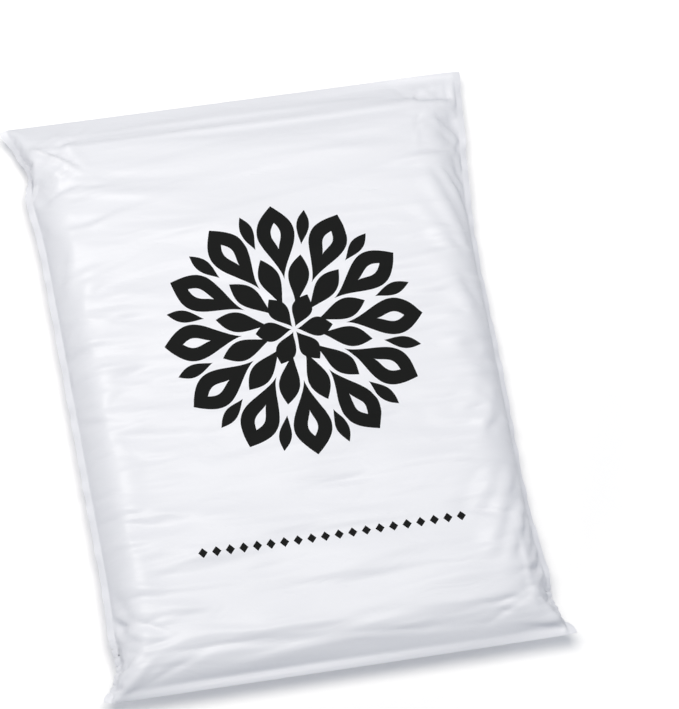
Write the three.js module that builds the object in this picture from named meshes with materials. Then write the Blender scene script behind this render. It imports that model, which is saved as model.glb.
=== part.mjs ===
// A poly mailer bag, 10 x 13 inches, filled with soft goods and closed, lying on its back.
// The bag is one folded sheet of white film: a fold at the base, a weld along each side, and a flap at
// the mouth that is turned over the back and stuck down. Nothing opens, so it is one closed solid.
// Millimetres. X runs across the bag, +Y points to the mouth and +Z up from the table.
import * as THREE from 'three';

// The empty bag, laid flat
const FLAT_WIDTH = 254;
const FLAT_LENGTH = 330;
const FLAP_LENGTH = 38;
const SEAM_WIDTH = 5;
const EDGE_THICKNESS = 0.8;
const FLAP_THICKNESS = 0.4;

// The bag as its contents fill it
const FILL_HEIGHT = 34;
const SEAM_HEIGHT = 16;
const MOUTH_EDGE_HEIGHT = 13;
const LEFT_WALL_RUN = 15;
const RIGHT_WALL_RUN = 23;
const MOUTH_BAND = 2;
const MOUTH_SLOPE_RUN = 42;
const BASE_BAND = 1;
const BASE_SLOPE_RUN = 21;
const CORNER_SQUARENESS = 4;

// The contents get thinner towards both ends, by these shares of the face's rise over the seams
const MOUTH_THINNING = 0.45;
const BASE_THINNING = 0.16;
const THINNING_START = 16;
const THINNING_REACH = 80;

// Where each side edge runs in from its flat ear to the filled body, measured from the end folds
const MOUTH_EAR_LENGTH = 36;
const BASE_EAR_LENGTH = 26;
const LEFT_PINCH_DEPTH = 3;
const RIGHT_PINCH_DEPTH = 1.2;
const PINCH_WIDTH = 5;

// Gathers that the shortened side seams press into the film, and slow waves over the whole face
const GATHER_PITCH = 19;
const GATHER_HEIGHT = 1.1;
const GATHER_REACH = 15;
const SEAM_RIPPLE = 0.9;
const FACE_WAVE_HEIGHT = 0.8;
const FACE_WAVE_PITCH = 46;

// Mesh steps
const WALL_STEPS = [0.1, 0.25, 0.45, 0.7, 1];
const GATHER_STEPS = [6, 12, 19, 28];
const MIDDLE_COLUMNS = 10;
const SLOPE_STEPS = [0.1, 0.22, 0.36, 0.5, 0.65, 0.82, 1];
const BODY_ROW_PITCH = 4.5;
const FLAP_EDGE_RAMP = 0.5;

// Quarter of an ellipse's outline, by Ramanujan's formula, less its run: the width that film gives up
// when it climbs a rounded wall.
function takeUp(rise, run) {
  const whole = Math.PI * (3 * (rise + run) - Math.sqrt((3 * rise + run) * (rise + 3 * run)));
  return whole / 4 - run;
}

const FACE_RISE = FILL_HEIGHT - SEAM_HEIGHT;
const LEFT_INSET = takeUp(FACE_RISE, LEFT_WALL_RUN);
const RIGHT_INSET = takeUp(FACE_RISE, RIGHT_WALL_RUN);

// The end folds stay straight, and the film between them shortens by what its two slopes take up.
const FILLED_LENGTH = FLAT_LENGTH
  - (Math.hypot((1 - MOUTH_THINNING) * FACE_RISE, MOUTH_SLOPE_RUN / 2) - MOUTH_SLOPE_RUN / 2)
  - (Math.hypot((1 - BASE_THINNING) * FACE_RISE, BASE_SLOPE_RUN) - BASE_SLOPE_RUN);

const HALF_WIDTH = FLAT_WIDTH / 2;
const HALF_LENGTH = FILLED_LENGTH / 2;

// Folds pressed into the front, each a straight valley or ridge that fades at both ends.
// A place is [distance in from the side edge, distance in from the end fold].
const FOLDS = [
  { side: -1, end: 1, from: [6, 39], to: [36, 33], height: -1.9, width: 7 },
  { side: -1, end: 1, from: [14, 22], to: [38, 34], height: 1.0, width: 4.5 },
  { side: -1, end: -1, from: [8, 27], to: [34, 22], height: -2.0, width: 6 },
  { side: -1, end: -1, from: [16, 34], to: [36, 32], height: 0.8, width: 4.5 },
  { side: -1, end: -1, from: [38, 9], to: [62, 26], height: -1.1, width: 6 },
  { side: 1, end: 1, from: [5, 40], to: [30, 30], height: -1.3, width: 6 },
  { side: 1, end: 1, from: [12, 16], to: [27, 44], height: 0.9, width: 5 },
  { side: 1, end: -1, from: [5, 26], to: [28, 36], height: -1.4, width: 6 },
  { side: 1, end: -1, from: [9, 12], to: [26, 62], height: 0.8, width: 6 },
  { side: 1, end: -1, from: [20, 11], to: [110, 15], height: 0.7, width: 5 },
  { side: -1, end: 1, from: [20, 18], to: [98, 17], height: 0.5, width: 4.5 },
];

const clamp01 = (t) => Math.min(1, Math.max(0, t));
const smooth = (t) => clamp01(t) ** 2 * (3 - 2 * clamp01(t));
const bell = (t) => Math.exp(-t * t);

// Height from 0 at the foot to 1 at the top: of a side wall, which is a rounded quarter, and of an end,
// where the film spans in a straighter ramp from the fold to the contents.
const sideWall = (t) => Math.sqrt(1 - (1 - clamp01(t)) ** 2);
const endRamp = (t) => Math.sin(Math.PI / 2 * clamp01(t));

// How far the side edge lies inside the flat width at height y, on the left (-1) or the right (1).
function sideInset(side, y) {
  const body = side < 0 ? LEFT_INSET : RIGHT_INSET;
  const pinch = side < 0 ? LEFT_PINCH_DEPTH : RIGHT_PINCH_DEPTH;
  const fromMouth = HALF_LENGTH - y;
  const fromBase = HALF_LENGTH + y;
  const ears = smooth(fromMouth / MOUTH_EAR_LENGTH) * smooth(fromBase / BASE_EAR_LENGTH);
  const pinches = bell((fromMouth - MOUTH_EAR_LENGTH) / PINCH_WIDTH)
    + bell((fromBase - BASE_EAR_LENGTH) / PINCH_WIDTH);
  return body * ears + pinch * pinches;
}

// Height of the face over the table, less where the contents thin out towards the ends.
function faceHeight(y) {
  const mouth = clamp01(1 - (HALF_LENGTH - y - THINNING_START) / THINNING_REACH);
  const base = clamp01(1 - (HALF_LENGTH + y - THINNING_START) / THINNING_REACH);
  return SEAM_HEIGHT + FACE_RISE * (1 - MOUTH_THINNING * mouth ** 1.6 - BASE_THINNING * base ** 1.6);
}

// Height of the flattened edge: even along the seams and the base, and lower at the mouth.
function edgeHeight(y, ripple) {
  const fromEnd = Math.min(HALF_LENGTH - y, HALF_LENGTH + y);
  const droop = (SEAM_HEIGHT - MOUTH_EDGE_HEIGHT) * (1 - smooth((HALF_LENGTH - y) / MOUTH_EAR_LENGTH));
  const waves = SEAM_RIPPLE * Math.sin(gatherPhase(y) + 1) * smooth(fromEnd / MOUTH_EAR_LENGTH);
  return SEAM_HEIGHT - droop + ripple * waves;
}

// How full the bag is at a point, from 0 at its edges to 1 over the contents. Where a side wall and an
// end meet they are joined like the sides of a hipped roof, with a rounded corner.
function fullness(fromLeft, fromRight, fromBase, fromMouth) {
  const side = fromLeft < fromRight
    ? sideWall((fromLeft - SEAM_WIDTH) / LEFT_WALL_RUN)
    : sideWall((fromRight - SEAM_WIDTH) / RIGHT_WALL_RUN);
  const end = fromMouth < fromBase
    ? endRamp((fromMouth - MOUTH_BAND) / MOUTH_SLOPE_RUN)
    : endRamp((fromBase - BASE_BAND) / BASE_SLOPE_RUN);
  const lack = ((1 - side) ** CORNER_SQUARENESS + (1 - end) ** CORNER_SQUARENESS) ** (1 / CORNER_SQUARENESS);
  return clamp01(1 - lack);
}

const gatherPhase = (y) => 2 * Math.PI * (y / GATHER_PITCH + 0.35 * Math.sin(y / 23) + 0.2 * Math.sin(y / 9));

// Short ridges that start at a side seam and die away over the face.
function gathers(side, fromSide, y) {
  const along = fromSide / GATHER_REACH;
  const envelope = along * Math.exp(1 - along);
  const phase = gatherPhase(y + (side > 0 ? 7 : 0)) + side * 0.05 * fromSide;
  const strength = side < 0 ? 1 : 0.6;
  return strength * GATHER_HEIGHT * envelope * Math.sin(phase);
}

// Slow waves that run across the bag, as film does over folded goods.
function faceWaves(x, y) {
  const k = 2 * Math.PI / FACE_WAVE_PITCH;
  return FACE_WAVE_HEIGHT * (
    0.6 * Math.sin(k * (y + 0.12 * x) + Math.sin(x / 40))
    + 0.4 * Math.sin(k * 1.7 * (y - 0.09 * x) + 2 * Math.sin(x / 55 + 1)));
}

function foldHeight(fold, x, y) {
  const a = [fold.side * (HALF_WIDTH - fold.from[0]), fold.end * (HALF_LENGTH - fold.from[1])];
  const b = [fold.side * (HALF_WIDTH - fold.to[0]), fold.end * (HALF_LENGTH - fold.to[1])];
  const line = [b[0] - a[0], b[1] - a[1]];
  const length = Math.hypot(...line);
  const along = ((x - a[0]) * line[0] + (y - a[1]) * line[1]) / length;
  const across = Math.abs((x - a[0]) * line[1] - (y - a[1]) * line[0]) / length;
  const reach = smooth((along + fold.width) / fold.width) * smooth((length + fold.width - along) / fold.width);
  return fold.height * reach * Math.max(0, 1 - across / fold.width);
}

// Offsets from one edge for the columns or rows near it.
const columnOffsets = (run) => [
  0,
  SEAM_WIDTH,
  ...WALL_STEPS.map((t) => SEAM_WIDTH + t * run),
  ...GATHER_STEPS.map((step) => SEAM_WIDTH + run + step),
];
const mouthOffsets = [
  0,
  MOUTH_BAND,
  ...SLOPE_STEPS.map((t) => MOUTH_BAND + t * MOUTH_SLOPE_RUN),
  FLAP_LENGTH,
  FLAP_LENGTH + FLAP_EDGE_RAMP,
].sort((a, b) => a - b);
const baseOffsets = [0, BASE_BAND, ...SLOPE_STEPS.map((t) => BASE_BAND + t * BASE_SLOPE_RUN)];

// Places between two edges: fixed offsets near each edge, and even steps between them.
function spread(low, high, lowOffsets, highOffsets, middleSteps) {
  const first = low + lowOffsets.at(-1);
  const last = high - highOffsets.at(-1);
  const middle = [];
  for (let i = 1; i < middleSteps; i += 1) {
    middle.push(first + (last - first) * i / middleSteps);
  }
  const near = lowOffsets.map((offset) => low + offset);
  const far = highOffsets.map((offset) => high - offset).reverse();
  return [...near, ...middle, ...far];
}

const bodyRows = Math.round((FILLED_LENGTH - baseOffsets.at(-1) - mouthOffsets.at(-1)) / BODY_ROW_PITCH);
const rowPlaces = spread(-HALF_LENGTH, HALF_LENGTH, baseOffsets, mouthOffsets, bodyRows);
const columnCount = columnOffsets(1).length * 2 + MIDDLE_COLUMNS - 1;
const rowCount = rowPlaces.length;

// One wall of the bag as rows of points, seen from above: the front when up is 1, the back when -1.
function wall(up) {
  const points = [];
  for (const y of rowPlaces) {
    const left = -HALF_WIDTH + sideInset(-1, y);
    const right = HALF_WIDTH - sideInset(1, y);
    const columns = spread(
      left, right, columnOffsets(LEFT_WALL_RUN), columnOffsets(RIGHT_WALL_RUN), MIDDLE_COLUMNS);
    for (const x of columns) {
      points.push([x, y, wallHeight(up, x, y, x - left, right - x)]);
    }
  }
  return points;
}

function wallHeight(up, x, y, fromLeft, fromRight) {
  const fromMouth = HALF_LENGTH - y;
  const fromBase = HALF_LENGTH + y;
  const plump = fullness(fromLeft, fromRight, fromBase, fromMouth);
  const edge = edgeHeight(y, 1 - plump);
  const side = fromLeft < fromRight ? -1 : 1;
  const fromSide = Math.max(0, Math.min(fromLeft, fromRight) - SEAM_WIDTH);
  if (up > 0) {
    const face = edge + EDGE_THICKNESS / 2;
    const ends = smooth(fromMouth / MOUTH_EAR_LENGTH) * smooth(fromBase / BASE_EAR_LENGTH);
    const folds = FOLDS.reduce((sum, fold) => sum + foldHeight(fold, x, y), 0);
    const relief = ends * gathers(side, fromSide, y) + plump * faceWaves(x, y) + smooth(fromSide / 6) * folds;
    return Math.max(face, face + (faceHeight(y) - face) * plump + relief);
  }
  const back = edge - EDGE_THICKNESS / 2;
  const flap = FLAP_THICKNESS * smooth((FLAP_LENGTH + FLAP_EDGE_RAMP - fromMouth) / FLAP_EDGE_RAMP);
  const backPlump = plump ** 0.8;
  const creases = 4 * backPlump * (1 - backPlump) * gathers(side, fromSide, y + 5);
  return Math.max(0, back * (1 - backPlump) + creases - flap);
}

// Joins the two walls along the edge all round into one closed surface.
function bagGeometry() {
  const front = wall(1);
  const back = wall(-1);
  const offset = front.length;
  const at = (row, column) => row * columnCount + column;
  const index = [];
  const quad = (a, b, c, d) => index.push(a, b, c, a, c, d);
  // Each square is split along its more level diagonal, so that creases and round corners stay smooth.
  const rise = (points, a, b) => Math.abs(points[a][2] - points[b][2]);
  const levelSplit = (points, a, b, c, d) => rise(points, a, c) < rise(points, b, d);
  for (let row = 0; row + 1 < rowCount; row += 1) {
    for (let column = 0; column + 1 < columnCount; column += 1) {
      const [a, b, c, d] = [at(row, column), at(row, column + 1), at(row + 1, column + 1), at(row + 1, column)];
      if (levelSplit(front, a, b, c, d)) quad(a, b, c, d);
      else quad(b, c, d, a);
      if (levelSplit(back, a, b, c, d)) quad(offset + c, offset + b, offset + a, offset + d);
      else quad(offset + b, offset + a, offset + d, offset + c);
    }
  }
  const rim = [];
  for (let column = 0; column + 1 < columnCount; column += 1) rim.push(at(0, column));
  for (let row = 0; row + 1 < rowCount; row += 1) rim.push(at(row, columnCount - 1));
  for (let column = columnCount - 1; column > 0; column -= 1) rim.push(at(rowCount - 1, column));
  for (let row = rowCount - 1; row > 0; row -= 1) rim.push(at(row, 0));
  rim.forEach((here, i) => {
    const next = rim[(i + 1) % rim.length];
    quad(offset + here, offset + next, next, here);
  });
  const geometry = new THREE.BufferGeometry();
  geometry.setAttribute('position', new THREE.Float32BufferAttribute([...front, ...back].flat(), 3));
  geometry.setIndex(index);
  geometry.computeVertexNormals();
  return geometry;
}

const whiteFilm = new THREE.MeshStandardMaterial({ color: 0xf1f2f7, roughness: 0.42, metalness: 0 });

const bag = new THREE.Mesh(bagGeometry(), whiteFilm);
bag.name = 'mailer_bag';

const mailer = new THREE.Group();
mailer.add(bag);

export default mailer;
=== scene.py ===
"""A poly mailer that is filled, closed and lying on its back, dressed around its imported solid.

Two flat sheets, joined at the side welds, the base fold and the mouth, are laid over soft contents that
swell until they fill the bag. What the film gives up when it climbs them comes out as gathers along the
welds and as pinched corners. Lengths in the classes are millimetres, and meshes are written in metres.
"""

import logging
from dataclasses import dataclass, field
from enum import IntEnum
from functools import partial
from typing import Callable

import bpy
import numpy as np
from mathutils import Matrix, Vector


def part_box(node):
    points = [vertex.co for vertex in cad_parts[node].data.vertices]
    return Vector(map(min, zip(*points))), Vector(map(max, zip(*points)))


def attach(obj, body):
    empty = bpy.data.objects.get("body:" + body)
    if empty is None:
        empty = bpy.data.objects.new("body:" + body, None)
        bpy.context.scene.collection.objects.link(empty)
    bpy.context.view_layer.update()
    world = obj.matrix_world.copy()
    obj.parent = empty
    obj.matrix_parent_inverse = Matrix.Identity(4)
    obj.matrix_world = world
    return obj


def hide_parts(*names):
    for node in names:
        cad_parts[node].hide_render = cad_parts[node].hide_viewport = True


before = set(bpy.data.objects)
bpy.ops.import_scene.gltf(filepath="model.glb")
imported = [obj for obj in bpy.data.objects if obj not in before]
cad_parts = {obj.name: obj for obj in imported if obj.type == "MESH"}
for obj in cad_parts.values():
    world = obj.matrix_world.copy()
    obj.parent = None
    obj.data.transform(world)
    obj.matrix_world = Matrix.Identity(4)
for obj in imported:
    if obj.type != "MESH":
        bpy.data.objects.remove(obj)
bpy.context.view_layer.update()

LOG = logging.getLogger("mailer")
MM = 0.001
BAG_NODE = "mailer_bag"
IMAGE_WIDTH, IMAGE_HEIGHT = 679, 709
CREASE_ROOM = 1.8  # height that the film's creases need over the contents, in millimetres
TINY = 1e-6  # keeps a divisor above 0

Array = np.ndarray
Pair = tuple[float, float]
Socket = bpy.types.NodeSocket
Adder = Callable[..., Socket]


class Side(IntEnum):
    """A side of the bag, by the place of its weld in a row of the film's grid."""

    LEFT = 0
    RIGHT = -1


def linear(hex_colour: str) -> tuple[float, float, float, float]:
    """Turns an sRGB hex colour into the linear colour that a shader socket takes.

    Args:
        hex_colour: Six hex digits, such as "F1F2F7".

    Returns:
        Red, green and blue from 0 to 1 in linear light, and an alpha of 1.
    """
    channels = [int(hex_colour[i:i + 2], 16) / 255 for i in (0, 2, 4)]
    curved = [c / 12.92 if c <= 0.04045 else ((c + 0.055) / 1.055) ** 2.4 for c in channels]
    return (*curved, 1.0)


def add_node(tree: bpy.types.NodeTree, kind: str, settings: dict | None = None, *inputs, out: int | str = 0,
             **named) -> Socket:
    """Adds one node with its settings and links.

    Args:
        tree: The node tree that takes the node.
        kind: The node's type, without the leading "ShaderNode".
        settings: Attributes of the node, such as its operation.
        *inputs: Values or sockets for the inputs in order; None leaves an input as it is.
        out: Which output to return, by place or by name.
        **named: Values or sockets for inputs by name, with underscores for spaces.

    Returns:
        The chosen output socket.
    """
    node = tree.nodes.new("ShaderNode" + kind)
    for key, value in (settings or {}).items():
        setattr(node, key, value)
    wanted = list(enumerate(inputs)) + [(key.replace("_", " "), value) for key, value in named.items()]
    for key, value in wanted:
        if isinstance(value, bpy.types.NodeSocket):
            tree.links.new(value, node.inputs[key])
        elif value is not None:
            node.inputs[key].default_value = value
    return node.outputs[out]


def calculate(add: Adder, operation: str, *values: Socket | float,
              clamp: bool = False) -> Socket:
    """Adds one Math node by the add-node function, with its values in order."""
    return add("Math", {"operation": operation, "use_clamp": clamp}, *values)


@dataclass(frozen=True)
class FlatBag:
    """The empty bag laid flat, in millimetres.

    Attributes:
        width: Across the bag, over both side welds.
        length: From the base fold to the fold at the mouth.
        weld: Width of each side weld.
        flap: Length of the flap that is turned over the back.
        film: Thickness that one film is drawn with.
    """

    width: float
    length: float = 330.0
    weld: float = 4.0
    flap: float = 38.0
    film: float = 0.22

    @property
    def half_inside(self) -> float:
        """Half the width between the welds."""
        return self.width / 2 - self.weld


def wall_gain(rise: float, run: float, roundness: float) -> float:
    """Length that film gives up on a rounded wall.

    The outline is a quarter of a superellipse, measured along short chords, less its run.

    Args:
        rise: Height of the wall.
        run: Its width seen from above.
        roundness: Exponent of the superellipse: 2 for an ellipse, less for a flatter wall.

    Returns:
        The extra length, in the unit of the arguments.
    """
    turn = np.linspace(0, np.pi / 2, 400)
    out, up = run * np.cos(turn) ** (2 / roundness), rise * np.sin(turn) ** (2 / roundness)
    return float(np.hypot(np.diff(out), np.diff(up)).sum() - run)


@dataclass
class Contents:
    """Folded soft goods: a block with rounded walls, a soft uneven top and a flat underside.

    Attributes:
        bag: The bag that holds them.
        height: Top of the block above the table.
        seam_height: Height at which the side welds meet the walls.
        left_run, right_run, mouth_run, base_run: Width of each wall seen from above.
        left_roundness: Exponent of the left wall's outline; the other walls are ellipses, with 2.
        mouth_gap, base_gap: From the ends of the filled bag to the block.
        mouth_thinning, base_thinning: Share of the height over the welds that the block loses at its ends.
        thinning_reach: Length over which it thins.
        shift: How far the block lies off the bag's middle, to the right.
        filled_length: End to end length of the filled bag.
        squareness: Exponent of the superellipse that rounds the block's corners in plan.
        top_waves: Height, pitch, slant and bend of the waves on top, and the bend's length per radian.
        swell: Height of a slow swell under them.
        table_gap: From the underside to the table.
        give: Share of the way out that is taken in one step; soft goods take less.
    """

    bag: FlatBag
    height: float
    seam_height: float = 16.0
    left_run: float = 13.0
    left_roundness: float = 1.5
    right_run: float = 23.0
    mouth_run: float = 16.0
    base_run: float = 20.0
    mouth_gap: float = 16.0
    base_gap: float = 8.0
    mouth_thinning: float = 0.45
    base_thinning: float = 0.16
    thinning_reach: float = 95.0
    shift: float = -2.0
    filled_length: float = 322.0
    squareness: float = 4.0
    top_waves: tuple[tuple[float, float, float, float, float], ...] = (
        (0.70, 57.0, 0.15, 1.0, 45.0), (0.45, 33.0, -0.10, 1.5, 54.0), (0.25, 19.0, 0.06, 2.0, 63.0))
    swell: float = 0.7
    table_gap: float = 0.2
    give: float = 0.25

    def __post_init__(self) -> None:
        """Places the block's edges so that the film just spans it from weld to weld."""
        rise = self.height - self.seam_height
        self.left = self.shift - self.bag.half_inside + wall_gain(rise, self.left_run, self.left_roundness)
        self.right = self.shift + self.bag.half_inside - wall_gain(rise, self.right_run, 2.0)
        self.base = -self.filled_length / 2 + self.base_gap
        self.mouth = self.filled_length / 2 - self.mouth_gap

    def unevenness(self, x: Array, y: Array) -> Array:
        """Height of the soft waves on top: sines along the bag, bent by a slower sine.

        Args:
            x, y: Places across and along the bag.

        Returns:
            The height at each place.
        """
        total = self.swell * np.sin(x / 38 + 2.1) * np.sin(y / 55 + 0.6)
        for number, (height, pitch, slant, bend, length) in enumerate(self.top_waves):
            bent = bend * np.sin(x / length + 1.7 * number)
            total += height * np.sin(2 * np.pi * (y + slant * x) / pitch + bent + 2.3 * number)
        return total

    def thickness(self, y: Array) -> Array:
        """Share of its full height over the welds that the block has at each place along the bag."""
        to_mouth = np.clip(1 - (self.mouth - y) / self.thinning_reach, 0, 1)
        to_base = np.clip(1 - (y - self.base) / self.thinning_reach, 0, 1)
        return 1 - self.mouth_thinning * to_mouth ** 2 - self.base_thinning * to_base ** 2

    def push_out(self, points: Array, grown: float) -> None:
        """Moves film that lies inside the block towards its surface.

        Inside the core only the height changes. In the walls a point moves straight out from the core's
        edge until (plan distance / run) and (height / half height), each to the wall's exponent, add up
        to 1.

        Args:
            points: x, y and z of one sheet, as three planes; changed in place.
            grown: How much of its height the block has reached, from 0 to 1.
        """
        x, y, z = points
        core_left, core_right = self.left + self.left_run, self.right - self.right_run
        core_base, core_mouth = self.base + self.base_run, self.mouth - self.mouth_run
        dx = np.minimum(x - core_left, 0) + np.maximum(x - core_right, 0)
        dy = np.minimum(y - core_base, 0) + np.maximum(y - core_mouth, 0)
        tx = np.abs(dx) / np.where(dx < 0, self.left_run, self.right_run)
        ty = np.abs(dy) / np.where(dy < 0, self.base_run, self.mouth_run)
        plan = (tx ** self.squareness + ty ** self.squareness) ** (1 / self.squareness)
        to_left = np.where(dx < 0, tx / np.maximum(tx + ty, TINY), 0)
        power = (2 - (2 - self.left_roundness) * to_left).astype(points.dtype)
        up = z >= self.seam_height
        top = (self.height - self.seam_height) * self.thickness(y) - self.bag.film + self.unevenness(x, y)
        half = np.where(up, top, self.seam_height - self.table_gap) * grown
        level = z - self.seam_height
        depth = plan ** power + np.abs(level / half) ** power
        inside = depth < 1
        wall = plan > 0.01
        out = np.where(inside, np.maximum(depth, 1e-3) ** (-1 / power), 1) - 1
        rise = np.where(wall, level * out, np.where(up, half, -half) - level)
        points[0] += self.give * np.where(wall, dx * out, 0)
        points[1] += self.give * np.where(wall, dy * out, 0)
        points[2] += self.give * np.where(inside, rise, 0)


@dataclass(frozen=True)
class Stage:
    """One stage of the film's settling.

    Attributes:
        columns, rows: Cells of the grid across and along the bag.
        steps: Number of steps.
        stiffness: Resistance to bending, from 0 to 1.
        weld_stiffness: The same along the side welds.
        droop: How far unheld film sinks in one step.
        grow_from: Share of the contents' height at the first step.
        stir: Height of the faint unevenness that is added when the stage starts.
    """

    columns: int
    rows: int
    steps: int
    stiffness: float
    weld_stiffness: float = 0.2
    droop: float = 0.0
    grow_from: float = 1.0
    stir: float = 0.0


STAGES = (
    Stage(64, 84, 500, 0.05, droop=0.0008, grow_from=0.1),
    Stage(64, 84, 900, 0.05, droop=0.0008),
    Stage(124, 168, 800, 0.008, weld_stiffness=0.05, stir=0.4),
    Stage(184, 248, 250, 0.02, weld_stiffness=0.05, stir=0.02),
)


def cubic_weights(new: int, old: int) -> Array:
    """Weights that carry a row of old points to new evenly spaced points by Catmull-Rom cubics.

    Beyond each end the row goes on in a straight line.

    Args:
        new: Number of points wanted.
        old: Number of points there are.

    Returns:
        A matrix of new by old weights.
    """
    place = np.linspace(0, old - 1, new)
    cell = np.clip(np.floor(place).astype(int), 0, old - 2)
    f = place - cell
    cubics = np.stack([
        -0.5 * f + f ** 2 - 0.5 * f ** 3, 1 - 2.5 * f ** 2 + 1.5 * f ** 3,
        0.5 * f + 2 * f ** 2 - 1.5 * f ** 3, -0.5 * f ** 2 + 0.5 * f ** 3], axis=1)
    padded = np.zeros((new, old + 2))
    for k in range(4):
        np.add.at(padded, (np.arange(new), cell + k), cubics[:, k])
    weights = padded[:, 1:-1].copy()
    weights[:, 0] += 2 * padded[:, 0]
    weights[:, 1] -= padded[:, 0]
    weights[:, -1] += 2 * padded[:, -1]
    weights[:, -2] -= padded[:, -1]
    return weights.astype(np.float32)


@dataclass(frozen=True)
class Pinch:
    """A place on a side weld where the film is bunched, so that it folds there.

    Attributes:
        side: Which weld.
        along: Place along the flat bag.
        spare: Length of the bunched film.
        spread: Reach of the bunch along the weld.
    """

    side: Side
    along: float
    spare: float
    spread: float = 6.0


PINCHES = (
    Pinch(Side.LEFT, 126.0, 3.9),
    Pinch(Side.LEFT, -134.0, 4.4),
    Pinch(Side.RIGHT, 122.0, 1.6),
    Pinch(Side.RIGHT, -138.0, 2.4),
)


@dataclass
class Film:
    """The front and back film between the side welds, settling over the contents.

    The points are an array of x, y and z by sheet, row and column; sheet 0 is the front. Each step keeps
    part of the last step's movement, bends the film smooth, and then brings neighbours back to the spacing
    that they have in the flat bag.

    Attributes:
        bag: The flat bag.
        contents: What fills it.
        narrowing: How far the flat sheets start drawn in across, as the contents will draw them.
        shortening: Start length over flat length.
        weld_shrink: How much shorter the heat of welding leaves the film along the welds.
        shrink_reach, shrink_fade: Distances over which that fades, from the welds and to the ends.
        loose_corner: Width at each left corner that the stiff ends leave free to fold.
        mouth_band, base_band: Width of the stiff strip at each end.
        mouth_stiffness, base_stiffness: Their resistance to bending, from 0 to 1.
        mouth_tab, base_tab: Length of the flat tabs at the corners.
        tab_reach: Reach of their stiffness.
        mouth_hold, base_hold: How straight each end is held, from 0 to 1.
        momentum, fastest: Share of the last movement that a step keeps, and its limit.
        sheet_gap: Least distance between the sheets.
        pinches: Where the film is bunched along the welds.
        seed: Seed of the faint unevenness that lets the film choose its folds.
    """

    bag: FlatBag
    contents: Contents
    narrowing: float = 0.07
    shortening: float = 0.972
    weld_shrink: float = 0.05
    shrink_reach: float = 8.0
    shrink_fade: float = 45.0
    loose_corner: float = 14.0
    mouth_band: float = 20.0
    base_band: float = 7.0
    mouth_stiffness: float = 0.5
    base_stiffness: float = 0.25
    mouth_tab: float = 30.0
    base_tab: float = 27.0
    tab_reach: float = 8.0
    mouth_hold: float = 0.5
    base_hold: float = 0.3
    momentum: float = 0.9
    fastest: float = 0.6
    sheet_gap: float = 0.05
    pinches: tuple[Pinch, ...] = PINCHES
    seed: int = 3
    random: np.random.Generator = field(init=False)
    points: Array = field(init=False)

    def settle(self, stages: tuple[Stage, ...]) -> Array:
        """Runs the stages from coarse to fine.

        Args:
            stages: What to run, in order.

        Returns:
            The settled points.
        """
        self.random = np.random.default_rng(self.seed)
        self.set_grid(stages[0])
        self.points = self.start_points()
        for stage in stages:
            self.regrid(stage)
            self.run(stage)
        return self.points

    def set_grid(self, stage: Stage) -> None:
        """Works out the flat spacing of a stage's grid, with the welds' shrinkage along the sides."""
        half, length = self.bag.half_inside, self.bag.length
        self.across = np.linspace(-half, half, stage.columns + 1, dtype=np.float32)
        self.along = np.linspace(-length / 2, length / 2, stage.rows + 1, dtype=np.float32)
        self.step_across = 2 * half / stage.columns
        self.step_along = length / stage.rows
        near_weld = np.exp(-(half - np.abs(self.across)) / self.shrink_reach)
        from_ends = np.clip((length / 2 - np.abs(self.along)) / self.shrink_fade, 0, 1)
        middle = 0.5 * (from_ends[1:] + from_ends[:-1])
        shrink = self.weld_shrink * near_weld[None, :] * middle[:, None]
        between = 0.5 * (self.along[1:] + self.along[:-1])
        for pinch in self.pinches:
            bunch = np.exp(-((between - pinch.along) / pinch.spread) ** 2)
            bunch = bunch / (pinch.spread * np.sqrt(np.pi))
            on_side = np.exp(-np.abs(self.across - self.across[pinch.side]) / self.shrink_reach)
            shrink -= pinch.spare * bunch[:, None] * on_side[None, :]
        self.rest_along = (self.step_along * (1 - shrink)).astype(np.float32)
        self.joined = np.zeros((stage.rows + 1, stage.columns + 1), bool)
        self.joined[:, [0, -1]] = True
        self.joined[[0, -1]] = True

    def start_points(self) -> Array:
        """Lays both sheets nearly flat, drawn in towards the body, with slight waves.

        Returns:
            The points.
        """
        u, v = np.meshgrid(self.across, self.along)
        body = np.clip((self.bag.length / 2 - np.abs(v)) / 38, 0, 1)
        x = u * (1 - self.narrowing * body * body * (3 - 2 * body))
        y = v * self.shortening
        z = np.full_like(u, self.contents.seam_height)
        for _ in range(10):
            pitch, slant = self.random.uniform(12, 34), self.random.uniform(-0.25, 0.25)
            turn, bend = self.random.uniform(0, 2 * np.pi, 2)
            bent = 1.5 * np.sin(x / 33 + bend)
            z += 0.08 * np.sin(2 * np.pi * (y + slant * x) / pitch + turn + bent)
        sheets = np.stack([np.stack([x, y, z + 0.5]), np.stack([x, y, z - 0.5])], axis=1)
        return sheets.astype(np.float32)

    def regrid(self, stage: Stage) -> None:
        """Carries the points to a stage's grid and stirs them a little."""
        if len(self.across) != stage.columns + 1:
            across = cubic_weights(stage.columns + 1, len(self.across))
            along = cubic_weights(stage.rows + 1, len(self.along))
            self.points = np.einsum("ij,ksjl,ml->ksim", along, self.points, across, optimize=True)
            self.points = self.points.astype(np.float32)
            self.set_grid(stage)
        noise = self.random.normal(0, 1, (3, stage.rows + 1, stage.columns + 1)).astype(np.float32)
        noise = smooth(smooth(noise, 4, axis=2), 2, axis=1)
        self.points += stage.stir * noise[:, None]

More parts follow.
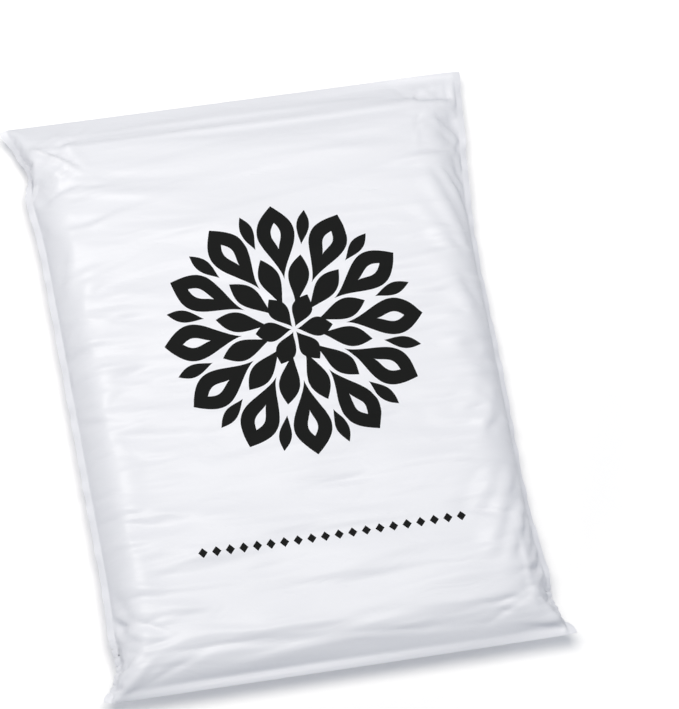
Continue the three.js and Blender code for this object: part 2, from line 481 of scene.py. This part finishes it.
    def run(self, stage: Stage) -> None:
        """Steps the film through one stage."""
        before = self.points.copy()
        for step in range(stage.steps):
            grown = stage.grow_from + (1 - stage.grow_from) * (step + 1) / stage.steps
            moved = np.clip((self.points - before) * self.momentum, -self.fastest, self.fastest)
            before = self.points
            self.points = self.points + moved
            self.points[2] -= stage.droop
            self.bend(self.points, stage.stiffness, 1, across=True)
            self.bend(self.points, stage.stiffness, 1, across=False)
            self.stiffen_ends()
            self.stiffen_welds(stage.weld_stiffness)
            self.keep_lengths()
            self.join_edges()
            self.straighten_ends()
            self.part_sheets()
            self.contents.push_out(self.points[:, 0], grown)
            self.contents.push_out(self.points[:, 1], grown)
            np.maximum(self.points[2], 0, out=self.points[2])

    @staticmethod
    def bend(points: Array, stiffness: float | Array, reach: int, across: bool) -> None:
        """Draws each point towards the middle of its two neighbours at a reach, and them away from it.

        Args:
            points: The points, changed in place; the last two axes are rows and columns.
            stiffness: Share of the way that is taken, one value or one for each inner column.
            reach: Distance to the neighbours, in cells.
            across: True for neighbours in a row, False for neighbours in a column.
        """
        p = points if across else points.swapaxes(-1, -2)
        low, here, high = p[..., :-2 * reach], p[..., reach:-reach], p[..., 2 * reach:]
        offset = stiffness * (0.5 * (low + high) - here)
        here += 0.5 * offset
        low -= 0.25 * offset
        high -= 0.25 * offset

    def stiffen_ends(self) -> None:
        """Keeps the mouth, three films glued together, and the base fold straighter across the bag."""
        reach = max(1, round(6 / self.step_across))
        half, loose = self.bag.half_inside, self.loose_corner
        held = np.clip((self.across + half - loose) / 12, 0, 1)
        held *= np.clip((half - self.across - 0.3 * loose) / 12, 0, 1)
        held = held[reach:-reach].astype(np.float32)
        mouth = self.points[..., -round(self.mouth_band / self.step_along):, :]
        base = self.points[..., :round(self.base_band / self.step_along), :]
        self.bend(mouth, self.mouth_stiffness * held, reach, True)
        self.bend(base, self.base_stiffness * held, reach, True)

    def stiffen_welds(self, stiffness: float) -> None:
        """Bends the side welds less than the open film, because they are two films fused.

        At the four corners the flat tabs beyond the contents are held straighter still.

        Args:
            stiffness: The welds' resistance to bending, from 0 to 1.
        """
        edges = self.points[..., [0, -1]]
        self.bend(edges, stiffness, max(1, round(4 / self.step_along)), False)
        reach = max(1, round(self.tab_reach / self.step_along))
        mouth = edges[..., -round(self.mouth_tab / self.step_along):, :]
        base = edges[..., :round(self.base_tab / self.step_along), :]
        self.bend(mouth, 0.5, reach, False)
        self.bend(base, 0.5, reach, False)
        self.points[..., [0, -1]] = edges

    def keep_lengths(self) -> None:
        """Brings neighbours in rows, columns and diagonals back to their flat spacing.

        Every second pair is moved at once, so that no point is in two pairs of one pass.
        """
        p, columns, rows = self.points, len(self.across), len(self.along)
        diagonal = float(np.hypot(self.step_across, self.step_along))
        for start in (0, 1):
            last = start + 2 * ((columns - start) // 2)
            self.pull(p[..., start:last:2], p[..., start + 1:last:2], self.step_across, 1.0)
            last = start + 2 * ((rows - start) // 2)
            low, high = p[..., start:last:2, :], p[..., start + 1:last:2, :]
            self.pull(low, high, self.rest_along[start:last:2], 1.0)
        for start in (0, 1):
            last = start + 2 * ((rows - start) // 2)
            low, high = p[..., start:last:2, :], p[..., start + 1:last:2, :]
            self.pull(low[..., :-1], high[..., 1:], diagonal, 0.5)
            self.pull(low[..., 1:], high[..., :-1], diagonal, 0.5)

    @staticmethod
    def pull(first: Array, second: Array, rest: float | Array, share: float) -> None:
        """Moves two sets of points along the lines that join them, half each.

        Args:
            first, second: The points, changed in place.
            rest: Their rest length.
            share: Share of the way to it that is taken.
        """
        gap = second - first
        length = np.sqrt(gap[0] * gap[0] + gap[1] * gap[1] + gap[2] * gap[2])
        gap *= 0.5 * share * (1 - rest / np.maximum(length, TINY))
        first += gap
        second -= gap

    def join_edges(self) -> None:
        """Holds the two sheets together along the welds and both end folds."""
        mean = 0.5 * (self.points[:, 0] + self.points[:, 1])
        self.points[:, 0][:, self.joined] = mean[:, self.joined]
        self.points[:, 1][:, self.joined] = mean[:, self.joined]

    def straighten_ends(self) -> None:
        """Draws the mouth and the base fold towards straight lines, as strips stiff in their plane."""
        for row, share in ((-1, self.mouth_hold), (0, self.base_hold)):
            end = self.points[1, :, row]
            end += share * (end.mean() - end)

    def part_sheets(self) -> None:
        """Keeps the front film above the back film."""
        z = self.points[2]
        over = 0.5 * np.maximum(z[1] + self.sheet_gap - z[0], 0)
        over[self.joined] = 0
        z[0] += over
        z[1] -= over


def smooth(values: Array, passes: int, axis: int = 0) -> Array:
    """Averages values with their neighbours along an axis, leaving the ends as they are.

    Args:
        values: The values, which are kept.
        passes: How often.
        axis: The axis.

    Returns:
        The smoothed values.
    """
    result = np.moveaxis(values.copy(), axis, 0)
    for _ in range(passes):
        result[1:-1] = 0.25 * result[:-2] + 0.5 * result[1:-1] + 0.25 * result[2:]
    return np.moveaxis(result, 0, axis)


def unit(vectors: Array) -> Array:
    """Vectors of length 1 along the last axis."""
    return vectors / np.maximum(np.linalg.norm(vectors, axis=-1, keepdims=True), 1e-9)


def sheet_normals(sheet: Array) -> Array:
    """Upward normals of a grid of points: the row direction crossed with the column direction."""
    return unit(np.cross(np.gradient(sheet, axis=1), np.gradient(sheet, axis=0)))


def closed_sheet(name: str, upper: Array, lower: Array, flat: Array) -> bpy.types.Object:
    """Makes a closed thin solid from its upper and lower surfaces.

    Each surface is a grid of quads, and a rim of quads joins their four edges. The rim's corners are sharp.

    Args:
        name: The object's name.
        upper: Rows by columns by x, y and z, in millimetres.
        lower: The same for the underside.
        flat: Rows by columns by the place on the flat film, in millimetres. It is kept as the UV map in
            metres, where the underside's cells lie beside the others, so that a print on one face stays
            off the other.

    Returns:
        The new object, at the origin.
    """
    rows, columns = upper.shape[:2]
    top = np.arange(rows * columns).reshape(rows, columns)
    low = top + rows * columns

    def quads(i: Array) -> Array:
        """Corners of the grid's cells, turning left as seen from above."""
        return np.stack([i[:-1, :-1], i[:-1, 1:], i[1:, 1:], i[1:, :-1]], axis=-1).reshape(-1, 4)

    ring = np.concatenate([top[0, :-1], top[:-1, -1], top[-1, :0:-1], top[:0:-1, 0]])
    after = np.roll(ring, -1)
    below = rows * columns
    rim = np.stack([ring + below, after + below, after, ring], axis=-1)
    faces = np.concatenate([quads(top), quads(low)[:, ::-1], rim])
    places = np.concatenate([upper.reshape(-1, 3), lower.reshape(-1, 3)]) * MM
    mesh = bpy.data.meshes.new(name)
    mesh.vertices.add(len(places))
    mesh.vertices.foreach_set("co", places.astype(np.float32).ravel())
    mesh.loops.add(faces.size)
    mesh.loops.foreach_set("vertex_index", faces.ravel().astype(np.int32))
    mesh.polygons.add(len(faces))
    mesh.polygons.foreach_set("loop_start", np.arange(len(faces), dtype=np.int32) * 4)
    mesh.polygons.foreach_set("use_smooth", np.ones(len(faces), bool))
    mesh.update(calc_edges=True)
    uv = (np.concatenate([flat.reshape(-1, 2)] * 2) * MM)[faces]
    cells = (rows - 1) * (columns - 1)
    uv[cells:2 * cells, :, 0] += np.ptp(uv[..., 0])
    layer = mesh.uv_layers.new(name="flat_film")
    layer.uv.foreach_set("vector", uv.astype(np.float32).ravel())
    on_ring = np.zeros(len(places), bool)
    on_ring[ring] = on_ring[ring + below] = True
    ends = np.empty(len(mesh.edges) * 2, np.int32)
    mesh.edges.foreach_get("vertices", ends)
    ends = ends.reshape(-1, 2)
    sharp = on_ring[ends].all(axis=1) & ((ends[:, 0] < below) == (ends[:, 1] < below))
    mesh.attributes.new("sharp_edge", "BOOLEAN", "EDGE").data.foreach_set("value", sharp)
    mesh.validate()
    piece = bpy.data.objects.new(name, mesh)
    bpy.context.scene.collection.objects.link(piece)
    return piece


@dataclass(frozen=True)
class CreasePatch:
    """A part of the flat film where crinkles of one kind lie.

    Attributes:
        count: Number of creases.
        across, along: Range of their middles on the flat film.
        lengths, widths, heights: Ranges of their sizes.
        tilt: Spread of their directions, in degrees.
        lean: Mean of their directions, in degrees from the bag's width.
        ridges: Share of them that stand up; the others are valleys.
    """

    count: int
    across: Pair
    along: Pair
    lengths: Pair
    widths: Pair
    heights: Pair
    tilt: float
    lean: float = 0.0
    ridges: float = 0.5

    def relief(self, u: Array, v: Array, random: np.random.Generator) -> Array:
        """Height of the creases over the flat film.

        A crease is a straight ridge or valley. Across it the height falls off as a bell curve that is three
        times steeper on one side, and along it as a longer bell curve.

        Args:
            u: Places across the flat film.
            v: Places along it.
            random: Source of the creases' places.

        Returns:
            The heights.
        """
        total = np.zeros_like(u)
        for _ in range(self.count):
            middle_u, middle_v = random.uniform(*self.across), random.uniform(*self.along)
            turn = np.radians(random.normal(self.lean, self.tilt))
            length, width = random.uniform(*self.lengths), random.uniform(*self.widths)
            height = random.uniform(*self.heights) * (1 if random.random() < self.ridges else -1)
            steep = 3 ** random.choice([-0.5, 0.5])
            s = (u - middle_u) * np.cos(turn) + (v - middle_v) * np.sin(turn)
            d = (v - middle_v) * np.cos(turn) - (u - middle_u) * np.sin(turn)
            d = np.where(d > 0, d * steep, d / steep) / width
            total += height * np.exp(-d * d - (2 * s / length) ** 2)
        return total


FACE_CREASES = (
    CreasePatch(260, (-108, 108), (-150, 128), (24, 80), (2.0, 4.4), (0.2, 0.7), 6),
    CreasePatch(40, (-100, 110), (128, 160), (24, 90), (1.8, 3.4), (0.1, 0.35), 4),
    CreasePatch(80, (-114, -80), (-135, 125), (14, 44), (1.5, 3.0), (0.35, 0.95), 9),
    CreasePatch(60, (80, 116), (-135, 125), (14, 40), (1.6, 3.2), (0.3, 0.8), 8),
    CreasePatch(16, (-120, -88), (112, 152), (10, 30), (1.5, 2.8), (0.4, 1.0), 28),
    CreasePatch(30, (92, 121), (112, 160), (7, 22), (1.4, 2.4), (0.3, 0.8), 50),
    CreasePatch(16, (-120, -84), (-156, -118), (10, 32), (1.5, 2.8), (0.4, 1.0), 28),
    CreasePatch(16, (84, 120), (-156, -118), (12, 36), (1.5, 3.0), (0.3, 0.9), 28),
    CreasePatch(30, (-100, 100), (-156, -136), (24, 80), (1.5, 3.0), (0.3, 0.8), 4),
    CreasePatch(4, (-90, 90), (-161.5, -160.5), (120, 240), (1.7, 2.3), (0.35, 0.65), 0.3, ridges=0.0),
    CreasePatch(4, (-80, 80), (151, 153), (90, 200), (1.5, 2.2), (0.15, 0.3), 0.5, ridges=1.0),
    CreasePatch(4, (-80, 80), (142, 145), (120, 240), (1.6, 2.2), (0.35, 0.7), 0.5, ridges=1.0),
    CreasePatch(2, (-105, -102), (136, 138), (22, 28), (1.4, 1.8), (1.1, 1.5), 2, lean=-35, ridges=1.0),
    CreasePatch(2, (-102, -99), (126, 129), (14, 20), (1.4, 1.8), (1.0, 1.4), 2, lean=31, ridges=1.0),
    CreasePatch(1, (-112, -110), (120, 122), (24, 26), (5.0, 6.0), (1.4, 1.6), 1, lean=-35, ridges=0.0),
    CreasePatch(2, (104, 107), (-116, -110), (36, 50), (1.8, 2.4), (0.4, 0.6), 3, lean=90, ridges=1.0),
    CreasePatch(2, (110, 114), (-146, -141), (20, 28), (1.6, 2.2), (0.8, 1.1), 4, lean=-60, ridges=1.0),
)


@dataclass
class WeldFin:
    """A side weld: the fused edge of the two films, which stands out from the body.

    Attributes:
        width: How far it stands out.
        side: Which weld.
        ripple: Height of its slow ripples.
        lean: How much more it follows the front film than the back, from 0 to 1.
        corner_lean: The same at the bag's corners.
        corner: Length of each corner.
        steps: Where its columns lie, as shares of its width.
    """

    width: float
    side: Side
    ripple: float = 0.4
    lean: float = 0.7
    corner_lean: float = 0.95
    corner: float = 48.0
    steps: tuple[float, ...] = (0.12, 0.55, 1.0)

    def columns(self, sheets: Array, step_along: float) -> Array:
        """Columns of points outside the weld line, nearest first.

        Each goes away from the bag's middle, drawn to a mean of the two films' directions at the weld line
        and smoothed over some millimetres, with a slow ripple at the outer edge.

        Args:
            sheets: Sheet by row by column by x, y and z.
            step_along: Spacing of the rows.

        Returns:
            Rows by columns by x, y and z.
        """
        line = sheets[0][:, self.side]
        inner = 2 if self.side is Side.LEFT else -3
        along = np.arange(len(line)) * step_along
        to_end = np.clip(1 - np.minimum(along, along[-1] - along) / self.corner, 0, 1)
        at_corner = (to_end * to_end * (3 - 2 * to_end))[:, None]
        lean = self.lean + (self.corner_lean - self.lean) * at_corner
        away = np.array([-1.0 if self.side is Side.LEFT else 1.0, 0, 0]) * (1.2 - at_corner)
        front, back = (unit(line - sheet[:, inner]) for sheet in sheets)
        outward = (1 + lean) * front + (1 - lean) * back + away
        outward = unit(smooth(outward, round(50 / step_along)))
        tangent = unit(np.gradient(line, axis=0))
        outward = unit(outward - tangent * np.sum(outward * tangent, axis=-1, keepdims=True))
        up = np.cross(outward, tangent)
        up *= np.sign(up[:, 2:3] + 1e-9)
        wave = self.ripple * (np.sin(along / 3.1 + 2 * np.sin(along / 21)) + 0.6 * np.sin(along / 1.9))
        return np.stack([line + outward * self.width * share + up * (wave * share ** 2)[:, None]
                         for share in self.steps], axis=1)


@dataclass
class MailerBag:
    """The bag: its film, its side welds and its closed flap.

    Attributes:
        bag: Flat sizes.
        contents: What fills it.
        creases: The film's small crinkles.
        crease_seed: Seed of their places.
        crease_shares: Share of their height on the front and on the back.
        edge_fade: Distance from the joined edges over which they fade in.
        sheet_gap: Least height of the front film over the back.
        flap_lift: How far the flap's free edge stands off the back between glued places.
    """

    bag: FlatBag
    contents: Contents
    creases: tuple[CreasePatch, ...] = FACE_CREASES
    crease_seed: int = 11
    crease_shares: Pair = (1.0, 0.6)
    edge_fade: float = 5.0
    sheet_gap: float = 0.3
    flap_lift: float = 0.35

    def build(self, stages: tuple[Stage, ...]) -> list[bpy.types.Object]:
        """Settles the film and makes the bag's meshes.

        Args:
            stages: The film's settling.

        Returns:
            The film and the flap.
        """
        film = Film(self.bag, self.contents)
        settled = film.settle(stages).astype(float)
        sheets = settled.transpose(1, 2, 3, 0)
        sheets = self.crease(sheets, film)
        left_fin, right_fin = WeldFin(self.bag.weld, Side.LEFT), WeldFin(self.bag.weld, Side.RIGHT)
        left = left_fin.columns(sheets, film.step_along)[:, ::-1]
        right = right_fin.columns(sheets, film.step_along)
        whole = np.stack([np.concatenate([left, sheet, right], axis=1) for sheet in sheets])
        whole[..., 2] = np.maximum(whole[..., 2], 0)
        outer = np.array(left_fin.steps) * self.bag.weld
        across = np.concatenate([film.across[0] - outer[::-1], film.across, film.across[-1] + outer])
        flat = np.stack(np.meshgrid(across, film.along), axis=-1)
        self.centre(whole)
        half = self.bag.film / 2
        front = whole[0] + half * sheet_normals(whole[0])
        back = whole[1] - half * sheet_normals(whole[1])
        back[..., 2] = np.maximum(back[..., 2], 0)
        body = closed_sheet("bag_film", front, back, flat)
        return [body, self.flap(back, flat)]

    def crease(self, sheets: Array, film: Film) -> Array:
        """Presses the crinkles into both sheets along their normals.

        They fade out at the joined edges, and the front stays above the back.

        Args:
            sheets: Sheet by row by column by x, y and z.
            film: The film, for its grid.

        Returns:
            The creased sheets.
        """
        u, v = np.meshgrid(film.across.astype(float), film.along.astype(float))
        from_side = self.bag.half_inside - np.abs(u)
        from_end = self.bag.length / 2 - np.abs(v)
        fade = np.clip(from_side / self.edge_fade, 0, 1) * np.clip(from_end / self.edge_fade, 0, 1)
        random = np.random.default_rng(self.crease_seed)
        creased = []
        for sheet, share in zip(sheets, self.crease_shares):
            relief = sum(patch.relief(u, v, random) for patch in self.creases)
            creased.append(sheet + sheet_normals(sheet) * (share * fade * relief)[..., None])
        front, back = creased
        front[..., 2] += np.maximum(back[..., 2] + self.sheet_gap * fade - front[..., 2], 0)
        return np.stack(creased)

    @staticmethod
    def centre(whole: Array) -> None:
        """Centres the bag over the origin of its frame, in place."""
        low, high = whole.min(axis=(0, 1, 2)), whole.max(axis=(0, 1, 2))
        whole[..., :2] -= (low + high)[:2] / 2

    def flap(self, back: Array, flat: Array) -> bpy.types.Object:
        """Makes the flap that is turned over the back and stuck down.

        It follows the back at a small distance, which grows a little towards its free edge.

        Args:
            back: Rows by columns of the back's outer face.
            flat: The same places on the flat film.

        Returns:
            The flap.
        """
        turned = flat[:, 0, 1] >= self.bag.length / 2 - self.bag.flap
        inset = slice(1, -1)
        under, place = back[turned][:, inset], flat[turned][:, inset]
        normals = sheet_normals(under)
        from_free_edge = (place[..., 1] - place[0, 0, 1])[..., None]
        glue = 0.5 + 0.5 * np.sin(place[..., :1] / 17 + 2 * np.sin(place[..., :1] / 41))
        lift = 0.06 + self.flap_lift * glue * np.exp(-from_free_edge / 3)
        lift[-2:] = 0.02
        upper = under - lift * normals
        lower = under - (lift + self.bag.film * 0.8) * normals
        lower[..., 2] = np.maximum(lower[..., 2], 0)
        upper[..., 2] = np.maximum(upper[..., 2], lower[..., 2] + 0.02)
        return closed_sheet("closure_flap", upper, lower, place)


@dataclass(frozen=True)
class PetalRing:
    """A ring of pointed petals round a centre.

    Attributes:
        count: Number of petals.
        inner, outer: Distance of the petals' two tips from the centre.
        half_width: Half a petal's greatest width.
        skew: Above 1 the widest place moves outwards, as on a drop.
        turn: Rotation of the ring, in petals.
    """

    count: int
    inner: float
    outer: float
    half_width: float
    skew: float = 1.0
    turn: float = 0.0

    def mask(self, add: Adder, radius: Socket, angle: Socket) -> Socket:
        """1 inside the petals and 0 outside.

        The angle is folded into one petal's sector. A point lies in the petal if its distance from the
        petal's middle line is less than half the width there, a sine of its place between the two tips.

        Args:
            add: Adds a node to the tree.
            radius, angle: The point's place about the ring's centre.

        Returns:
            The mask.
        """
        math = partial(calculate, add)
        sector = 2 * np.pi / self.count
        turned = math("ADD", angle, self.turn * sector)
        folded = math("WRAP", turned, sector / 2, -sector / 2)
        cosine = math("COSINE", folded)
        along = math("MULTIPLY", radius, cosine)
        sine = math("SINE", folded)
        side = math("MULTIPLY", radius, sine)
        across = math("ABSOLUTE", side)
        place = add("MapRange", {"clamp": True}, along, self.inner, self.outer, 0.0, 1.0)
        skewed = math("POWER", place, self.skew)
        arc = math("MULTIPLY", skewed, float(np.pi))
        bulge = math("SINE", arc)
        width = math("MULTIPLY", bulge, self.half_width)
        return math("LESS_THAN", across, width)


@dataclass(frozen=True)
class PrintedRosette:
    """The print: a bold rosette of petals on the face, and a thin row of lozenges below it.

    Places are on the flat film, in millimetres.
    """

    centre: Pair = (6.0, 22.0)
    black: tuple[PetalRing, ...] = (
        PetalRing(12, 28.0, 70.0, 10.2, 1.5),
        PetalRing(12, 48.0, 68.0, 3.4, 1.2, 0.5),
        PetalRing(12, 13.0, 42.0, 5.6, 1.4, 0.5),
        PetalRing(6, 1.5, 21.0, 5.4, 1.3))
    white: tuple[PetalRing, ...] = (
        PetalRing(12, 45.0, 60.0, 2.6, 1.4),)
    row_height: float = -92.0
    row_start: float = -64.0
    row_count: int = 20
    row_pitch: float = 7.3
    lozenge: Pair = (2.5, 2.7)

    def mask(self, add: Adder, u: Socket, v: Socket) -> Socket:
        """1 where the film is printed and 0 where it is bare.

        Args:
            add: Adds a node to the tree.
            u, v: The place on the flat film.

        Returns:
            The mask.
        """
        math = partial(calculate, add)
        x = math("SUBTRACT", u, self.centre[0])
        y = math("SUBTRACT", v, self.centre[1])
        radius = math("SQRT", math("ADD", math("MULTIPLY", x, x), math("MULTIPLY", y, y)))
        angle = math("ARCTAN2", y, x)
        ink: Socket | float = 0.0
        for ring in self.black:
            ink = math("MAXIMUM", ring.mask(add, radius, angle), ink)
        for ring in self.white:
            ink = math("SUBTRACT", ink, ring.mask(add, radius, angle), clamp=True)
        return math("MAXIMUM", ink, self.row_mask(add, u, v))

    def row_mask(self, add: Adder, u: Socket, v: Socket) -> Socket:
        """1 inside a row of lozenges: |x| over half the width plus |y| over half the height is below 1.

        Args:
            add: Adds a node to the tree.
            u, v: The place on the flat film.

        Returns:
            The mask.
        """
        math = partial(calculate, add)
        shifted = math("SUBTRACT", u, self.row_start)
        folded = math("WRAP", shifted, self.row_pitch / 2, -self.row_pitch / 2)
        x = math("DIVIDE", math("ABSOLUTE", folded), self.lozenge[0])
        height = math("SUBTRACT", v, self.row_height)
        y = math("DIVIDE", math("ABSOLUTE", height), self.lozenge[1])
        lozenges = math("LESS_THAN", math("ADD", x, y), 1.0)
        half = self.row_pitch * self.row_count / 2
        middle = self.row_start - self.row_pitch / 2 + half
        inside = math("COMPARE", u, middle, half)
        return math("MULTIPLY", lozenges, inside)


@dataclass(frozen=True)
class BlownFilm:
    """White pigmented low density polyethylene, blown as a tube and printed in black by flexography.

    Blowing leaves a smooth satin face with faint crinkles from folding and packing. Flat ink covers it and
    shines a little less. Sizes and heights are in millimetres.
    """

    name: str = "white_blown_polyethylene_film"
    film_colour: str = "F4F4F9"
    ink_colour: str = "0C0D0C"
    roughness: float = 0.40
    ink_roughness: float = 0.85
    mirror: float = 0.3
    refraction: float = 1.51
    crinkle_size: float = 9.0
    crinkle_height: float = 0.30
    crinkle_stretch: tuple[float, float, float] = (0.35, 1.0, 1.0)
    crinkle_noise: Pair = (3.0, 0.55)
    crinkle_warp: float = 0.6
    grain_size: float = 0.8
    grain_height: float = 0.006
    grain_detail: float = 2.0
    printed: PrintedRosette | None = None

    def make(self) -> bpy.types.Material:
        """Builds the material on the piece's own flat UV map, in millimetres of film.

        Returns:
            The material.
        """
        material = bpy.data.materials.new(self.name)
        material.use_nodes = True
        tree = material.node_tree
        tree.nodes.clear()
        add = partial(add_node, tree)
        uv = add("UVMap", {"uv_map": "flat_film"})
        millimetres = add("VectorMath", {"operation": "SCALE"}, uv, Scale=1 / MM)
        shader = tree.nodes.new("ShaderNodeBsdfPrincipled")
        shader.inputs["IOR"].default_value = self.refraction
        shader.inputs["Base Color"].default_value = linear(self.film_colour)
        shader.inputs["Roughness"].default_value = self.roughness
        shader.inputs["Specular IOR Level"].default_value = self.mirror
        if self.printed:
            u = add("SeparateXYZ", None, millimetres, out=0)
            v = add("SeparateXYZ", None, millimetres, out=1)
            ink = self.printed.mask(add, u, v)
            colour = add("Mix", {"data_type": "RGBA"}, ink, None, None, None, None, None,
                         linear(self.film_colour), linear(self.ink_colour), out=2)
            tree.links.new(colour, shader.inputs["Base Color"])
            shine = add("MapRange", {"clamp": True}, ink, 0.0, 1.0, self.roughness, self.ink_roughness)
            tree.links.new(shine, shader.inputs["Roughness"])
        stretched = add("VectorMath", {"operation": "MULTIPLY"}, millimetres, self.crinkle_stretch)
        crinkle = add("TexNoise", {"noise_dimensions": "2D"}, stretched, None, 1 / self.crinkle_size,
                      *self.crinkle_noise, Distortion=self.crinkle_warp)
        grain = add("TexNoise", {"noise_dimensions": "2D"}, millimetres, None, 1 / self.grain_size,
                    self.grain_detail)
        folds = add("Bump", None, 1.0, self.crinkle_height * MM, Height=crinkle)
        fine = add("Bump", None, 1.0, self.grain_height * MM, Height=grain, Normal=folds)
        tree.links.new(fine, shader.inputs["Normal"])
        output = tree.nodes.new("ShaderNodeOutputMaterial")
        tree.links.new(shader.outputs[0], output.inputs[0])
        return material


@dataclass(frozen=True)
class Softbox:
    """A square lamp over the bag.

    Attributes:
        place: Its position in metres.
        size: Its side in metres.
        power: Its power in watts.
        colour: Its linear colour, warm against the cool room.
        aim: The point that it faces; beyond the bag's mouth, so that the base end is a little darker.
    """

    place: tuple[float, float, float]
    size: float
    power: float
    colour: tuple[float, float, float] = (1.0, 0.968, 0.905)
    aim: tuple[float, float, float] = (0.05, 0.65, 0.0)

    def build(self, name: str) -> bpy.types.Object:
        """Adds the lamp to the scene, turned to its aim.

        Args:
            name: The lamp's name.

        Returns:
            The lamp's object.
        """
        lamp = bpy.data.lights.new(name, "AREA")
        lamp.size = self.size
        lamp.energy = self.power
        lamp.color = self.colour
        piece = bpy.data.objects.new(name, lamp)
        piece.location = self.place
        piece.rotation_euler = (Vector(self.aim) - Vector(self.place)).to_track_quat("-Z", "Y").to_euler()
        bpy.context.scene.collection.objects.link(piece)
        return piece


@dataclass(frozen=True)
class Studio:
    """A white table, soft light and a long lens that looks down on the bag.

    Angles are in degrees, lengths in metres. The camera looks along azimuth and elevation at a point
    over the table, and is then rolled about its own axis.
    """

    azimuth: float = -33.0
    elevation: float = 70.0
    roll: float = 23.42
    distance: float = 3.0
    target: tuple[float, float, float] = (0.0312, 0.0102, 0.015)
    lens: float = 286.6
    sensor: float = 36.0
    far: float = 20.0
    floor_size: float = 8.0
    floor_colour: str = "FBFAFA"
    floor_lift: float = 0.15
    lift_reach: Pair = (0.17, 0.4)
    world_colour: tuple[float, float, float, float] = (0.76, 0.858, 1.0, 1.0)
    world_strength: float = 0.31
    lamps: tuple[Softbox, ...] = (
        Softbox((-0.17, 0.14, 1.35), 0.8, 15.3),)

    def build(self) -> None:
        """Makes the floor, the lamps, the world and the camera."""
        self.build_floor()
        for number, lamp in enumerate(self.lamps):
            lamp.build(f"softbox_{number}")
        self.build_world()
        self.build_camera()
        bpy.context.scene.view_settings.view_transform = "Standard"

    def build_floor(self) -> None:
        """A white table that the camera sees as white wherever no shadow falls, and all white far out."""
        half = self.floor_size / 2
        mesh = bpy.data.meshes.new("table_top")
        corners = [(-half, -half, 0), (half, -half, 0), (half, half, 0), (-half, half, 0)]
        mesh.from_pydata(corners, [], [(0, 1, 2, 3)])
        floor = bpy.data.objects.new("table_top", mesh)
        bpy.context.scene.collection.objects.link(floor)
        material = bpy.data.materials.new("white_paper_backdrop")
        material.use_nodes = True
        tree = material.node_tree
        tree.nodes.clear()
        add = partial(add_node, tree)
        paper = add("BsdfDiffuse", None, linear(self.floor_colour))
        seen = add("LightPath", out="Is Camera Ray")
        place = add("TexCoord", out="Object")
        distance = add("VectorMath", {"operation": "LENGTH"}, place, out="Value")
        lift = add("MapRange", {"clamp": True, "interpolation_type": "SMOOTHSTEP"}, distance,
                   *self.lift_reach, self.floor_lift, 1.0)
        strength = add("Math", {"operation": "MULTIPLY"}, seen, lift)
        glow = add("Emission", None, (1.0, 1.0, 1.0, 1.0), strength)
        both = add("AddShader", None, paper, glow)
        output = tree.nodes.new("ShaderNodeOutputMaterial")
        tree.links.new(both, output.inputs[0])
        mesh.materials.append(material)

    def build_world(self) -> None:
        """Even cool light from all round, which the camera sees as plain white."""
        world = bpy.data.worlds.new("white_studio")
        world.use_nodes = True
        tree = world.node_tree
        tree.nodes.clear()
        add = partial(add_node, tree)
        light = add("Background", None, self.world_colour, self.world_strength)
        plain = add("Background", None, (1.0, 1.0, 1.0, 1.0), 1.0)
        seen = add("LightPath", out="Is Camera Ray")
        both = add("MixShader", None, seen, light, plain)
        output = tree.nodes.new("ShaderNodeOutputWorld")
        tree.links.new(both, output.inputs[0])
        bpy.context.scene.world = world

    def build_camera(self) -> None:
        """A camera on a long lens at the fitted angle."""
        around, above, roll = np.radians([self.azimuth, self.elevation, self.roll])
        back = np.array([np.sin(around) * np.cos(above), -np.cos(around) * np.cos(above), np.sin(above)])
        right = np.cross([0.0, 0.0, 1.0], back)
        right /= np.linalg.norm(right)
        up = np.cross(back, right)
        turned_right = np.cos(roll) * right + np.sin(roll) * up
        turned_up = -np.sin(roll) * right + np.cos(roll) * up
        eye = np.array(self.target) + back * self.distance
        data = bpy.data.cameras.new("camera")
        data.sensor_fit = "VERTICAL" if IMAGE_HEIGHT > IMAGE_WIDTH else "HORIZONTAL"
        data.sensor_height = data.sensor_width = self.sensor
        data.lens = self.lens
        data.clip_end = self.far
        camera = bpy.data.objects.new("camera", data)
        axes = np.stack([turned_right, turned_up, back, eye], axis=1)
        camera.matrix_world = Matrix([*axes.tolist(), [0, 0, 0, 1]])
        bpy.context.scene.collection.objects.link(camera)
        bpy.context.scene.camera = camera


def main() -> None:
    """Builds and dresses the bag, and sets up the studio."""
    logging.basicConfig(level=logging.INFO, format="%(name)s: %(message)s")
    low, high = (np.array(corner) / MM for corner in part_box(BAG_NODE))
    bag = FlatBag(width=float(high[0] - low[0]))
    contents = Contents(bag, height=float(high[2] - low[2]) - CREASE_ROOM,
                        filled_length=float(high[1] - low[1]))
    mailer = MailerBag(bag, contents)
    film, flap = mailer.build(STAGES)
    printed = BlownFilm(printed=PrintedRosette()).make()
    film.data.materials.append(printed)
    flap.data.materials.append(BlownFilm(name="white_polyethylene_flap").make())
    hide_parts(BAG_NODE)
    for piece in (film, flap):
        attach(piece, "root")
        LOG.info("%s: %d faces, %s mm", piece.name, len(piece.data.polygons),
                 [round(side / MM, 1) for side in piece.dimensions])
    Studio().build()


if __name__ == "__main__":
    main()
